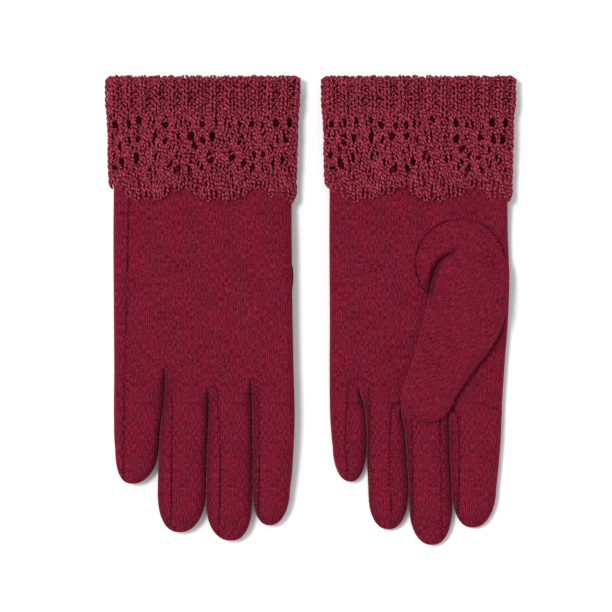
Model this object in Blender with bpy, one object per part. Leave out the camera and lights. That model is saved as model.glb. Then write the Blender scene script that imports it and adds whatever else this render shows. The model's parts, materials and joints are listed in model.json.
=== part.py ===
"""A pair of knitted gloves lying side by side, the right-hand one back up and the left-hand one palm up.

Metres, +Z up, +Y toward the cuffs. The origin is under the middle of the pair, on the surface it lies on.
Each glove is a jersey hand sewn from a tube-shaped trank, finger panels, fourchettes between the
fingers and a thumb set into a round hole, with a knitted cuff that is folded down over the wrist.
"""

import math

import bmesh
import bpy

MM = 0.001

# Fabric
JERSEY_WALL = 1.2 * MM
KNIT_WALL = 1.9 * MM
GAP = 0.3 * MM

# The pair
GLOVE_SPACING = 108.0 * MM
TIP_LIFT = 1.5 * MM

# Cuff: a band sewn to the wrist, turned outward at the rim and down over itself
CUFF_LENGTH = 47.25 * MM
CUFF_THICKNESS = 14.0 * MM
CUFF_RIM_HALF_WIDTH = 48.5 * MM
CUFF_HEM_HALF_WIDTH = 47.2 * MM
TURN_LENGTH = 51.0 * MM
SCALLOP_DEPTH = 6.8 * MM
SCALLOP_COUNT = 5
SCALLOP_POWER = 0.9

# Hand: it lies a little thicker than its fingers, and it has some play inside the turned cuff
HAND_LENGTH = 104.0 * MM
HAND_HALF_WIDTH = 44.4 * MM
HAND_OVER_FINGERS = 0.4 * MM
KNUCKLE_MARGIN = 0.4 * MM
WRIST_PLAY = 0.4 * MM
WRIST_FLAT = 13.0 * MM
WRIST_SLOPE = 21.0 * MM
ROOT_OVERLAP = 6.0 * MM

# Fingers: middle and width at the fold line, middle and width before the rounded tip, the fold line
# and the tip below the knuckle line, all in millimetres
FINGER_THICKNESS = 9.0 * MM
TIP_ROUND = 0.55
TIP_WIDTH_POWER = 0.85
TIP_HEIGHT_POWER = 0.7
DROOP_PAST_THUMB = 2.0 * MM
RIGHT_FINGERS = {
    "little": (-32.6, 23.2, -34.6, 18.0, 9.0, 52.5),
    "ring": (-8.8, 21.5, -11.4, 23.0, 16.5, 76.5),
    "middle": (13.2, 19.5, 13.8, 20.4, 24.25, 81.0),
    "index": (35.0, 21.0, 33.6, 18.0, 23.0, 73.5),
}
LEFT_FINGERS = {
    "little": (-35.2, 18.5, -34.2, 15.5, 9.0, 51.5),
    "ring": (-16.4, 17.8, -15.3, 19.6, 16.5, 75.5),
    "middle": (6.8, 21.5, 6.9, 21.0, 24.25, 83.25),
    "index": (29.8, 23.4, 27.4, 17.4, 23.0, 74.5),
}

# Fourchettes: how far each reaches onto the palm or the back, measured round the finger's outline,
# and how far the little finger's side seam lies in on the back
PALM_REACH = 10.5 * MM
BACK_REACH = 6.5 * MM
SIDE_REACH = 1.4 * MM
SEAM_REACH = 8.0 * MM
POINT_SHARE = 0.15

# Thumb: a round gusset in the palm and the stall that is sewn to it
THUMB_HOLE_X = 20.5 * MM
THUMB_HOLE_BELOW_WRIST = 47.5 * MM
THUMB_HOLE_RADIUS = 21.0 * MM
THUMB_TURN = math.radians(-13.0)
THUMB_THICKNESS_UP = 7.4 * MM
THUMB_THICKNESS_UNDER = 4.0 * MM
BOSS_BACK = 9.0 * MM
BOSS_FRONT = -5.0 * MM
# The mouth's dome: sections at these angles, and how fast it widens and rises
BOSS_ANGLES = (82.0, 60.0, 35.0, 0.0)
BOSS_WIDTH_POWER = 0.6
BOSS_HEIGHT_POWER = 0.4
# Distance along the thumb from the hole's middle, sideways offset and width, in millimetres
THUMB_STATIONS = (
    (5.0, 3.5, 33.0),
    (19.0, 7.0, 37.0),
    (33.0, 6.4, 35.0),
    (50.0, 3.2, 28.5),
    (66.0, 0.8, 24.5),
)
THUMB_LENGTH = 80.0 * MM

# How square each flattened tube is: 2 is an ellipse
CUFF_SQUARENESS = 3.2
FINGER_SQUARENESS = 2.8

# Facets
TUBE_SEGMENTS = 28
CUFF_COLUMNS = 50
HOLE_SEGMENTS = 32
PANEL_COLUMNS = 7
STRIP_COLUMNS = 5
BODY_ROWS = 3
TIP_ANGLES = (0.0, 28.0, 52.0, 74.0)
ARC_STEPS = 90
SHARP_ANGLE = math.radians(40)
LEAST_STATION_STEP = 2.0 * MM

# How far a cutter runs past the end that it opens, how far the thumb's two hollows run into each other,
# and the widest that a seam's gap may be at a tip, as a share of the gap over the finger's half height
CUTTER_PAST = 2.0 * MM
MOUTH_PAST = 3.0 * MM
STEEPEST_GAP = 1.6

JERSEY_COLOUR = (0.178, 0.0095, 0.0273, 1.0)
CUFF_COLOUR = (0.159, 0.0137, 0.0252, 1.0)

LONGEST_FINGER = max(row[5] for table in (RIGHT_FINGERS, LEFT_FINGERS) for row in table.values()) * MM
RIM_Y = (CUFF_LENGTH + HAND_LENGTH + LONGEST_FINGER) / 2
WRIST_Y = RIM_Y - CUFF_LENGTH
KNUCKLE_Y = WRIST_Y - HAND_LENGTH
CUFF_MIDDLE_Z = CUFF_THICKNESS / 2
HAND_THICKNESS = FINGER_THICKNESS + HAND_OVER_FINGERS
WRIST_HALF_HEIGHT = CUFF_THICKNESS / 2 - KNIT_WALL - WRIST_PLAY


class Glove:
    """Where one glove lies, which way its palm faces, and how high its parts are."""

    def __init__(self, name, middle_x, palm, fingers, thumb_thickness):
        self.name = name
        self.x = middle_x
        self.palm = palm
        self.thumb_thickness = thumb_thickness
        under = thumb_thickness + GAP if palm < 0 else 0.0
        self.hand_z = under + HAND_THICKNESS / 2
        self.palm_z = self.hand_z + palm * HAND_THICKNESS / 2
        self.thumb_z = self.palm_z + palm * (GAP + thumb_thickness / 2)
        self.tip_z = FINGER_THICKNESS / 2 + (TIP_LIFT if palm < 0 else 0.0)
        self.hole = (self.x + THUMB_HOLE_X, WRIST_Y - THUMB_HOLE_BELOW_WRIST)
        self.fingers = [Finger(self, key, row) for key, row in fingers.items()]

    def thumb_tip(self):
        """The thumb's tip, which the fingers of a palm-down glove have to lie beyond."""
        x = self.hole[0] + THUMB_LENGTH * math.sin(THUMB_TURN)
        return x, self.hole[1] - THUMB_LENGTH * math.cos(THUMB_TURN)


class Finger:
    """One finger's centre line, widths and heights, shared by its panels, its fourchettes and its root."""

    def __init__(self, glove, name, row):
        root_x, root_width, tip_x, tip_width, fold, length = (value * MM for value in row)
        self.glove = glove
        self.name = name
        self.root_x = glove.x + root_x
        self.tip_x = glove.x + tip_x
        self.root_half = root_width / 2
        self.tip_half = tip_width / 2
        self.fold_y = KNUCKLE_Y - fold
        self.tip_y = KNUCKLE_Y - length
        self.round_length = tip_width * TIP_ROUND
        self.round_y = self.tip_y + self.round_length * math.sin(math.radians(TIP_ANGLES[-1]))

    def root_z(self):
        """Height of the finger's middle at the fold line, flush with the side of the hand that is up."""
        return self.glove.hand_z + (FINGER_THICKNESS - HAND_THICKNESS) / 2 * self.glove.palm

    def droop_y(self):
        """Where a raised finger starts to come down: past the fold line and past the thumb under it."""
        thumb_x, thumb_y = self.glove.thumb_tip()
        if self.root_x + self.root_half < thumb_x - THUMB_STATIONS[-1][2] * MM / 2:
            return self.fold_y
        return min(self.fold_y, thumb_y - DROOP_PAST_THUMB)

    def at(self, y):
        """Middle x, middle z and half width at y, before the rounding of the tip."""
        along = (self.fold_y - y) / (self.fold_y - self.round_y)
        down = min(max((self.droop_y() - y) / (self.droop_y() - self.round_y), 0.0), 1.0)
        x = self.root_x + (self.tip_x - self.root_x) * along
        z = self.root_z() + (self.glove.tip_z - self.root_z()) * down
        return x, z, self.root_half + (self.tip_half - self.root_half) * along


def clear_scene():
    for obj in list(bpy.data.objects):
        bpy.data.objects.remove(obj, do_unlink=True)


def make_collection(name, hidden):
    collection = bpy.data.collections.new(name)
    collection.hide_render = hidden
    bpy.context.scene.collection.children.link(collection)
    return collection


def make_material(name, colour):
    material = bpy.data.materials.new(name)
    material.use_nodes = True
    shader = material.node_tree.nodes["Principled BSDF"]
    shader.inputs["Base Color"].default_value = colour
    shader.inputs["Roughness"].default_value = 0.9
    shader.inputs["Metallic"].default_value = 0.0
    return material


def add_object(name, mesh, colour=None, parent=None):
    """Adds a part of its own material when it has a colour, and a hidden cutter when it has none."""
    obj = bpy.data.objects.new(name, mesh)
    obj.parent = parent
    if colour:
        mesh.materials.append(make_material(name, colour))
        bpy.data.collections["knitted_gloves"].objects.link(obj)
    else:
        obj.hide_render = True
        obj.display_type = "WIRE"
        bpy.data.collections["cutters"].objects.link(obj)
    return obj


def add_pivot(name, location, turn=0.0):
    """An empty on a joint's axis, which carries the pieces that turn about it."""
    pivot = bpy.data.objects.new(name, None)
    pivot.location = location
    pivot.rotation_euler = (0.0, 0.0, turn)
    bpy.data.collections["knitted_gloves"].objects.link(pivot)
    return pivot


def cut(target, cutter, operation="DIFFERENCE"):
    modifier = target.modifiers.new(f"{operation.lower()} {cutter.name}", "BOOLEAN")
    modifier.operation = operation
    modifier.solver = "EXACT"
    modifier.object = cutter


def finish_mesh(name, shape):
    """Turns a bmesh into a mesh with its faces out and its round parts smooth."""
    bmesh.ops.recalc_face_normals(shape, faces=shape.faces)
    mesh = bpy.data.meshes.new(name)
    shape.to_mesh(mesh)
    shape.free()
    mesh.shade_smooth()
    mesh.set_sharp_from_angle(angle=SHARP_ANGLE)
    return mesh


def outline_point(angle, half_width, half_height, squareness):
    """A point of a flattened tube's outline, as (sideways, up)."""
    across = math.copysign(abs(math.cos(angle)) ** (2 / squareness), math.cos(angle))
    up = math.copysign(abs(math.sin(angle)) ** (2 / squareness), math.sin(angle))
    return half_width * across, half_height * up


def ring(x, y, z, half_width, half_height, squareness):
    """One closed section of a flattened tube, across the Y axis, as equal steps round its outline."""
    points = []
    for step in range(TUBE_SEGMENTS):
        quarter, part = divmod(step * 4 / TUBE_SEGMENTS, 1)
        angle = (quarter + part) * math.pi / 2
        across, up = outline_point(angle, half_width, half_height, squareness)
        points.append((x + across, y, z + up))
    return points


def loft(name, rings):
    """A closed solid through rings of as many points each, with a flat face at either end."""
    shape = bmesh.new()
    rows = [[shape.verts.new(point) for point in points] for points in rings]
    count = len(rows[0])
    for first, second in zip(rows, rows[1:]):
        for i in range(count):
            j = (i + 1) % count
            shape.faces.new((first[i], first[j], second[j], second[i]))
    shape.faces.new(rows[0])
    shape.faces.new(reversed(rows[-1]))
    return finish_mesh(name, shape)


def arc_to_angle(arc, half_width, half_height, squareness):
    """The outline's angle at a distance round it, from the middle of the finger's side."""
    travelled = 0.0
    last = outline_point(0.0, half_width, half_height, squareness)
    for step in range(1, ARC_STEPS + 1):
        angle = step * math.pi / 2 / ARC_STEPS
        point = outline_point(angle, half_width, half_height, squareness)
        travelled_next = travelled + math.dist(last, point)
        if travelled_next >= arc:
            share = (arc - travelled) / (travelled_next - travelled)
            return (step - 1 + share) * math.pi / 2 / ARC_STEPS
        travelled, last = travelled_next, point
    return math.pi / 2


def finger_rows(finger):
    """Every row's y, width share, height share and whether it lies on the rounded tip, outside and inside."""
    rows = []
    for step in range(BODY_ROWS):
        y = finger.fold_y - GAP / 2 + (finger.round_y - finger.fold_y) * step / BODY_ROWS
        rows.append((y, y, 1.0, 1.0))
    for degrees in TIP_ANGLES:
        turn = math.radians(degrees)
        outer = finger.round_y - finger.round_length * math.sin(turn)
        inner = finger.round_y - (finger.round_length - JERSEY_WALL) * math.sin(turn)
        rows.append((outer, inner, math.cos(turn) ** TIP_WIDTH_POWER, math.cos(turn) ** TIP_HEIGHT_POWER))
    return rows


def panel_edges(finger, row, side, half_width, half_height):
    """Angles at which the seams at the index side and the little side lie, on the palm or the back.

    They narrow toward the tip, where the palm and the back meet at the finger's sides.
    """
    if row > BODY_ROWS:
        return 0.0, 0.0
    share = 1.0 - (1.0 - POINT_SHARE) * row / BODY_ROWS

    def angle(reach):
        return arc_to_angle(reach * share, half_width, half_height, FINGER_SQUARENESS)

    index_edge = angle(PALM_REACH if side > 0 else SIDE_REACH)
    little_edge = angle(SIDE_REACH if side > 0 else BACK_REACH)
    if finger.name == "little":
        little_edge = -side * angle(SEAM_REACH)
    return index_edge, little_edge


def shell_rows(finger, angles_of, shift, rows):
    """Outer and inner points of a curved panel: angles_of gives its angles at a row, palm side positive."""
    palm = finger.glove.palm
    outer_rows, inner_rows = [], []
    for number, (outer_y, inner_y, wide, high) in enumerate(rows):
        x, z, half = finger.at(max(outer_y, finger.round_y))
        half_height = FINGER_THICKNESS / 2 - GAP / 2
        angles = angles_of(number, half * wide, half_height * high)
        outer_rows.append([])
        inner_rows.append([])
        for angle in angles:
            across, up = outline_point(angle, half * wide, half_height * high, FINGER_SQUARENESS)
            outer_rows[-1].append((x + across, outer_y, z + palm * (up + shift)))
            inner_half = (half - JERSEY_WALL) * wide
            inner_height = (half_height - JERSEY_WALL) * high
            across, up = outline_point(angle, inner_half, inner_height, FINGER_SQUARENESS)
            inner_rows[-1].append((x + across, inner_y, z + palm * (up + shift)))
    return outer_rows, inner_rows


def shell(name, outer_rows, inner_rows, origin, closed_tip):
    """A closed curved panel between an outer and an inner grid; a closed tip ends flat inside and out."""
    shape = bmesh.new()

    def vertex(point):
        return shape.verts.new([value - start for value, start in zip(point, origin)])

    def grid(points_of):
        return [[vertex(point) for point in row] for row in points_of]

    outer, inner = grid(outer_rows), grid(inner_rows)
    last = len(outer[0]) - 1
    for low, high in zip(range(len(outer)), range(1, len(outer))):
        for i in range(last):
            shape.faces.new((outer[low][i], outer[low][i + 1], outer[high][i + 1], outer[high][i]))
            shape.faces.new((inner[low][i], inner[high][i], inner[high][i + 1], inner[low][i + 1]))
        for i in (0, last):
            shape.faces.new((outer[low][i], outer[high][i], inner[high][i], inner[low][i]))
    ends = (0,) if closed_tip else (0, len(outer) - 1)
    for row in ends:
        for i in range(last):
            shape.faces.new((outer[row][i], inner[row][i], inner[row][i + 1], outer[row][i + 1]))
    if closed_tip:
        shape.faces.new(outer[-1])
        shape.faces.new(reversed(inner[-1]))
        shape.faces.new((outer[-1][0], outer[-1][last], inner[-1][last], inner[-1][0]))
    return finish_mesh(name, shape)


def spread(start, end, count):
    return [start + (end - start) * step / (count - 1) for step in range(count)]


def build_finger(finger):
    """The palm and back panels of a finger past its fold line, and the fourchettes at its sides."""
    glove = finger.glove
    origin = (finger.root_x, finger.fold_y, finger.root_z() + FINGER_THICKNESS / 2)
    pivot = add_pivot(f"{glove.name}_{finger.name}_hinge", origin)
    rows = finger_rows(finger)

    def add(label, angles_of, shift, part_rows, closed_tip):
        name = f"{glove.name}_{finger.name}_{label}"
        mesh = shell(name, *shell_rows(finger, angles_of, shift, part_rows), origin, closed_tip)
        add_object(name, mesh, JERSEY_COLOUR, pivot)

    def past(edge, half_width, half_height, least=0.0):
        """The angle one gap beyond a seam that a neighbour ends at."""
        if edge <= 0.0:
            return edge + arc_to_angle(least, half_width, half_height, FINGER_SQUARENESS)
        step = arc_to_angle(GAP, half_width, half_height, FINGER_SQUARENESS)
        return edge + min(step, STEEPEST_GAP * GAP / half_height)

    def face_angles(side):
        def angles(row, half_width, half_height):
            index_edge, little_edge = panel_edges(finger, row, side, half_width, half_height)
            start = past(index_edge, half_width, half_height)
            end = math.pi - past(little_edge, half_width, half_height)
            return [side * angle for angle in spread(start, end, PANEL_COLUMNS + 2)]

        return angles

    def wrap_angles(row, half_width, half_height):
        """From the seam on the back, round the folded index side, to the seam on the palm."""
        back_edge = panel_edges(finger, row, -1, half_width, half_height)[1]
        palm_edge = panel_edges(finger, row, 1, half_width, half_height)[1]
        start = past(back_edge, half_width, half_height, GAP / 2) - math.pi
        end = math.pi - past(palm_edge, half_width, half_height, GAP / 2)
        return spread(start, end, 2 * PANEL_COLUMNS + 3)

    def strip_angles(at_index_side):
        def angles(row, half_width, half_height):
            place = 0 if at_index_side else 1
            palm_edge = panel_edges(finger, row, 1, half_width, half_height)[place]
            back_edge = panel_edges(finger, row, -1, half_width, half_height)[place]
            side = spread(-back_edge, palm_edge, STRIP_COLUMNS + 1)
            return side if at_index_side else [math.pi - angle for angle in side]

        return angles

    if finger.name == "index":
        add("panel", wrap_angles, 0.0, rows, True)
    else:
        add("palm_panel", face_angles(1), GAP / 2, rows, True)
        add("back_panel", face_angles(-1), -GAP / 2, rows, True)
        add("index_side_fourchette", strip_angles(True), 0.0, rows[: BODY_ROWS + 1], False)
    if finger.name != "little":
        add("little_side_fourchette", strip_angles(False), 0.0, rows[: BODY_ROWS + 1], False)


def build_trank(glove):
    """The hand: a flattened tube from the wrist seam to the four finger roots, with the thumb's hole."""
    name = f"{glove.name}_trank"
    low_x = glove.fingers[0].root_x - glove.fingers[0].root_half - KNUCKLE_MARGIN
    high_x = glove.fingers[-1].root_x + glove.fingers[-1].root_half + KNUCKLE_MARGIN
    knuckle_x, knuckle_half = (low_x + high_x) / 2, (high_x - low_x) / 2
    slope_top = WRIST_Y - WRIST_FLAT
    slope_middle_z = (CUFF_MIDDLE_Z + glove.hand_z) / 2
    palm_middle_y = (slope_top - WRIST_SLOPE + KNUCKLE_Y) / 2
    palm_middle_x = (glove.x + knuckle_x) / 2
    palm_middle_half = (HAND_HALF_WIDTH + knuckle_half) / 2
    hand_half = HAND_THICKNESS / 2
    slope_half = (WRIST_HALF_HEIGHT + hand_half) / 2
    stations = (
        (glove.x, WRIST_Y, CUFF_MIDDLE_Z, HAND_HALF_WIDTH, WRIST_HALF_HEIGHT),
        (glove.x, slope_top, CUFF_MIDDLE_Z, HAND_HALF_WIDTH, WRIST_HALF_HEIGHT),
        (glove.x, slope_top - WRIST_SLOPE / 2, slope_middle_z, HAND_HALF_WIDTH, slope_half),
        (glove.x, slope_top - WRIST_SLOPE, glove.hand_z, HAND_HALF_WIDTH, hand_half),
        (palm_middle_x, palm_middle_y, glove.hand_z, palm_middle_half, hand_half),
        (knuckle_x, KNUCKLE_Y, glove.hand_z, knuckle_half, hand_half),
    )

    def tube(wall, past_wrist, past_knuckles):
        rings = []
        for number, (x, y, z, half_width, half_height) in enumerate(stations):
            y += past_wrist if number == 0 else 0.0
            y -= past_knuckles if number == len(stations) - 1 else 0.0
            rings.append(ring(x, y, z, half_width - wall, half_height - wall, CUFF_SQUARENESS))
        return rings

    def root(finger, wall, start_y, end_y):
        half_height = FINGER_THICKNESS / 2 - wall
        half = finger.root_half - wall
        place = (finger.root_z(), half, half_height, FINGER_SQUARENESS)
        return [ring(finger.root_x, y, *place) for y in (start_y, end_y)]

    trank = add_object(name, loft(name, tube(0.0, 0.0, 0.0)), JERSEY_COLOUR)
    for finger in glove.fingers:
        label = f"{name}_{finger.name}_root"
        solid = root(finger, 0.0, KNUCKLE_Y + ROOT_OVERLAP, finger.fold_y + GAP / 2)
        cut(trank, add_object(label, loft(label, solid)), "UNION")
    hollow = f"{name}_hollow"
    cut(trank, add_object(hollow, loft(hollow, tube(JERSEY_WALL, CUTTER_PAST, -JERSEY_WALL))))
    for finger in glove.fingers:
        label = f"{name}_{finger.name}_root_hollow"
        hole = root(finger, JERSEY_WALL, KNUCKLE_Y + ROOT_OVERLAP, finger.fold_y - CUTTER_PAST)
        cut(trank, add_object(label, loft(label, hole)))
    bpy.ops.mesh.primitive_cylinder_add(
        vertices=HOLE_SEGMENTS,
        radius=THUMB_HOLE_RADIUS,
        depth=HAND_THICKNESS,
        location=(*glove.hole, glove.palm_z + glove.palm * JERSEY_WALL),
    )
    cut(trank, move_to_cutters(f"{name}_thumb_hole"))


def move_to_cutters(name, parent=None):
    """Names the primitive that was just added and hides it among the cutters."""
    obj = bpy.context.object
    obj.name = name
    for collection in list(obj.users_collection):
        collection.objects.unlink(obj)
    mesh = obj.data
    matrix = obj.matrix_world.copy()
    bpy.data.objects.remove(obj, do_unlink=True)
    mesh.transform(matrix)
    return add_object(name, mesh, None, parent)


def thumb_section(glove, along, offset, width, wall, low=None, high=None):
    """One ring of the thumb in its own frame, whose origin is the hole's middle and -Y runs to the tip."""
    half_height = glove.thumb_thickness / 2 - wall
    low = -half_height if low is None else low
    high = half_height if high is None else high
    z = glove.palm * (low + high) / 2
    return ring(offset, -along, z, width / 2 - wall, (high - low) / 2, CUFF_SQUARENESS)


def build_thumb(glove):
    """The gusset, a disc in the palm's hole with a raised mouth, and the stall that goes on from it."""
    pivot = add_pivot(f"{glove.name}_thumb_pivot", (*glove.hole, glove.thumb_z), THUMB_TURN)
    half = glove.thumb_thickness / 2
    stations = [tuple(value * MM for value in row) for row in THUMB_STATIONS]
    first_offset, first_width = stations[0][1:]

    def boss(wall, low, high, back, front):
        """A low dome, rounded at the back, from the palm's level to the thumb's top."""
        rings = []
        for degrees in BOSS_ANGLES:
            turn = math.radians(degrees)
            along = -(back - wall) * math.sin(turn)
            wide = (first_width - 2 * wall) * math.cos(turn) ** BOSS_WIDTH_POWER + 2 * wall
            top = low + (high - low) * math.cos(turn) ** BOSS_HEIGHT_POWER
            rings.append(thumb_section(glove, along, first_offset, wide, wall, low, top))
        rings.append(thumb_section(glove, -front, first_offset, first_width, wall, low, high))
        return rings

    # The gusset
    name = f"{glove.name}_thumb_gusset"
    disc_top = -half - GAP
    bpy.ops.mesh.primitive_cylinder_add(
        vertices=HOLE_SEGMENTS,
        radius=THUMB_HOLE_RADIUS - GAP,
        depth=JERSEY_WALL,
        location=(0.0, 0.0, glove.palm * (disc_top - JERSEY_WALL / 2)),
    )
    disc = move_to_cutters(f"{name}_disc", pivot)
    outer = boss(0.0, disc_top - JERSEY_WALL, half, BOSS_BACK, BOSS_FRONT + GAP / 2)
    gusset = add_object(name, loft(name, outer), JERSEY_COLOUR, pivot)
    cut(gusset, disc, "UNION")
    hollow_low = disc_top - 2 * JERSEY_WALL
    inner = boss(JERSEY_WALL, hollow_low, half - JERSEY_WALL, BOSS_BACK, BOSS_FRONT - MOUTH_PAST)
    cut(gusset, add_object(f"{name}_hollow", loft(f"{name}_hollow", inner), None, pivot))

    # The stall
    name = f"{glove.name}_thumb_stall"
    round_length = stations[-1][2] * TIP_ROUND
    round_start = THUMB_LENGTH - round_length * math.sin(math.radians(TIP_ANGLES[-1]))

    def stall(wall, start):
        rings = [thumb_section(glove, start, first_offset, first_width, wall)]
        for along, offset, width in stations[1:]:
            before_tip = min(along, round_start - LEAST_STATION_STEP)
            rings.append(thumb_section(glove, before_tip, offset, width, wall))
        for degrees in TIP_ANGLES:
            turn = math.radians(degrees)
            along = round_start + (round_length - wall) * math.sin(turn)
            offset = stations[-1][1] * (1 - math.sin(turn))
            wide = (stations[-1][2] - 2 * wall) * math.cos(turn) ** TIP_WIDTH_POWER + 2 * wall
            high = (half - wall) * math.cos(turn) ** TIP_HEIGHT_POWER
            rings.append(thumb_section(glove, along, offset, wide, wall, -high, high))
        return rings

    body = add_object(name, loft(name, stall(0.0, -BOSS_FRONT + GAP / 2)), JERSEY_COLOUR, pivot)
    inner = loft(f"{name}_hollow", stall(JERSEY_WALL, -BOSS_FRONT - MOUTH_PAST))
    cut(body, add_object(f"{name}_hollow", inner, None, pivot))


def cuff_half_width(y):
    """Half the turned cuff's outer width, which narrows from its rim to its hem."""
    down = (RIM_Y - y) / TURN_LENGTH
    return CUFF_RIM_HALF_WIDTH + (CUFF_HEM_HALF_WIDTH - CUFF_RIM_HALF_WIDTH) * down


def hem_y(angle):
    """The scalloped hem: rounded lobes that repeat round the flattened cuff."""
    across = math.copysign(abs(math.cos(angle)) ** (2 / CUFF_SQUARENESS), math.cos(angle))
    quarter_turns = 1 - across if math.sin(angle) >= 0 else 3 + across
    phase = quarter_turns / 4 * SCALLOP_COUNT
    return RIM_Y - TURN_LENGTH - SCALLOP_DEPTH * abs(math.cos(math.pi * phase)) ** SCALLOP_POWER


def build_turned_cuff(glove):
    """The folded-down part of the cuff: one closed profile, carried all the way round the wrist."""
    name = f"{glove.name}_cuff_turn"
    half_height = CUFF_THICKNESS / 2
    lip = KNIT_WALL
    shape = bmesh.new()
    columns = []
    for step in range(CUFF_COLUMNS):
        angle = 2 * math.pi * step / CUFF_COLUMNS
        hem = hem_y(angle)
        middle = (RIM_Y + hem) / 2
        profile = (
            (RIM_Y, 2 * lip + GAP - 0.6 * lip),
            (RIM_Y - 0.2 * lip, 0.4 * lip),
            (RIM_Y - lip, 0.0),
            (middle, 0.0),
            (hem, 0.15 * lip),
            (hem, 0.9 * lip),
            (middle, lip),
            (RIM_Y - lip, lip),
            (RIM_Y - lip, 2 * lip + GAP),
            (RIM_Y - 0.3 * lip, 2 * lip + GAP),
        )
        column = []
        for y, depth in profile:
            section = (cuff_half_width(y) - depth, half_height - depth, CUFF_SQUARENESS)
            across, up = outline_point(angle, *section)
            column.append(shape.verts.new((glove.x + across, y, CUFF_MIDDLE_Z + up)))
        columns.append(column)
    for number, column in enumerate(columns):
        following = columns[(number + 1) % CUFF_COLUMNS]
        for i in range(len(column)):
            j = (i + 1) % len(column)
            shape.faces.new((column[i], column[j], following[j], following[i]))
    add_object(name, finish_mesh(name, shape), CUFF_COLOUR)


def build_cuff_band(glove):
    """The cuff's inner layer, from the wrist seam up to the fold at the rim."""
    name = f"{glove.name}_cuff_band"
    top_y = RIM_Y - KNIT_WALL - GAP
    low_y = WRIST_Y + GAP
    depth = KNIT_WALL + GAP
    half_width = CUFF_HEM_HALF_WIDTH - depth
    half_height = CUFF_THICKNESS / 2 - depth

    def tube(wall, past):
        section = (CUFF_MIDDLE_Z, half_width - wall, half_height - wall, CUFF_SQUARENESS)
        return [ring(glove.x, y, *section) for y in (top_y + past, low_y - past)]

    band = add_object(name, loft(name, tube(0.0, 0.0)), CUFF_COLOUR)
    hollow = f"{name}_hollow"
    cut(band, add_object(hollow, loft(hollow, tube(KNIT_WALL, CUTTER_PAST))))


def build_glove(glove):
    build_turned_cuff(glove)
    build_cuff_band(glove)
    build_trank(glove)
    for finger in glove.fingers:
        build_finger(finger)
    build_thumb(glove)


clear_scene()
make_collection("knitted_gloves", False)
make_collection("cutters", True)
build_glove(Glove("right", -GLOVE_SPACING / 2, -1, RIGHT_FINGERS, THUMB_THICKNESS_UNDER))
build_glove(Glove("left", GLOVE_SPACING / 2, 1, LEFT_FINGERS, THUMB_THICKNESS_UP))
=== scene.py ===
"""A pair of knitted gloves lying side by side, the right-hand one back up and the left-hand one palm up."""

import json
import math

import bpy
import numpy as np
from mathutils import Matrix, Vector, noise


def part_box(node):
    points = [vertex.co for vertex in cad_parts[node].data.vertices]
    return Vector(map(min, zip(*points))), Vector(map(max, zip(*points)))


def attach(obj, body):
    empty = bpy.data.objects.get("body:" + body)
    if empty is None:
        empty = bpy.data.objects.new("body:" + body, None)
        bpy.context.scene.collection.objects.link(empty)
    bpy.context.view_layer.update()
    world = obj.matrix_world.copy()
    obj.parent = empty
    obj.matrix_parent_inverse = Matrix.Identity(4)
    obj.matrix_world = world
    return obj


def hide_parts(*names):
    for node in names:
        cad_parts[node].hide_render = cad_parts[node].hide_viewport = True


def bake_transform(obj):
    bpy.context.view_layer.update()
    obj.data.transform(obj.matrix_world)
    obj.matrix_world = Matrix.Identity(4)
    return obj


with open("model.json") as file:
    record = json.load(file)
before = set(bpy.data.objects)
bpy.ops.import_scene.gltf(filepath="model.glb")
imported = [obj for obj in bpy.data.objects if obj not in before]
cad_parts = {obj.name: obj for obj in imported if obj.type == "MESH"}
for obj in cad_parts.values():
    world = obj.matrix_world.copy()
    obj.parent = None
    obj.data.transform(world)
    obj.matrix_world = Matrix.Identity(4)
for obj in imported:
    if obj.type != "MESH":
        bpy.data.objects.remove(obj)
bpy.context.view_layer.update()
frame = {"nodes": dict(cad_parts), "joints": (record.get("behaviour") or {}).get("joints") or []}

# The table top, the light and the camera.
# A pale matt sheet under soft daylight from the upper left, seen straight from above through a long lens.
MM = 0.001
TABLE_DROP = 0.05


def add_node(tree, kind, inputs=None, **settings):
    """A shader node with its settings, and each input joined to a socket or given a value."""
    node = tree.nodes.new(kind)
    for name, value in settings.items():
        setattr(node, name, value)
    for key, value in (inputs or {}).items():
        if isinstance(value, bpy.types.NodeSocket):
            tree.links.new(value, node.inputs[key])
        else:
            node.inputs[key].default_value = value
    return node


bpy.ops.object.select_all(action="DESELECT")
bpy.ops.mesh.primitive_plane_add(size=8.0, location=(0.0, 0.0, -TABLE_DROP * MM))
table_top = bpy.context.object
table_top.name = "table_top"
bpy.ops.object.transform_apply(location=True, rotation=False, scale=False)
pale_sheet = bpy.data.materials.new("pale_sheet")
pale_sheet.use_nodes = True
sheet_finish = pale_sheet.node_tree.nodes["Principled BSDF"]
sheet_finish.inputs["Base Color"].default_value = (0.93, 0.93, 0.93, 1.0)
sheet_finish.inputs["Roughness"].default_value = 0.9
table_top.data.materials.append(pale_sheet)

studio = bpy.data.worlds.new("studio")
studio.use_nodes = True
sky = studio.node_tree.nodes["Background"]
sky.inputs["Color"].default_value = (1.0, 1.0, 1.0, 1.0)
sky.inputs["Strength"].default_value = 0.72
bpy.context.scene.world = studio

daylight = bpy.data.objects.new("daylight", bpy.data.lights.new("daylight", "SUN"))
daylight.data.energy = 2.2
daylight.data.angle = math.radians(17)
daylight.rotation_euler = Vector((-0.40, 0.18, 1.0)).to_track_quat("Z", "Y").to_euler()
bpy.context.scene.collection.objects.link(daylight)

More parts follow.
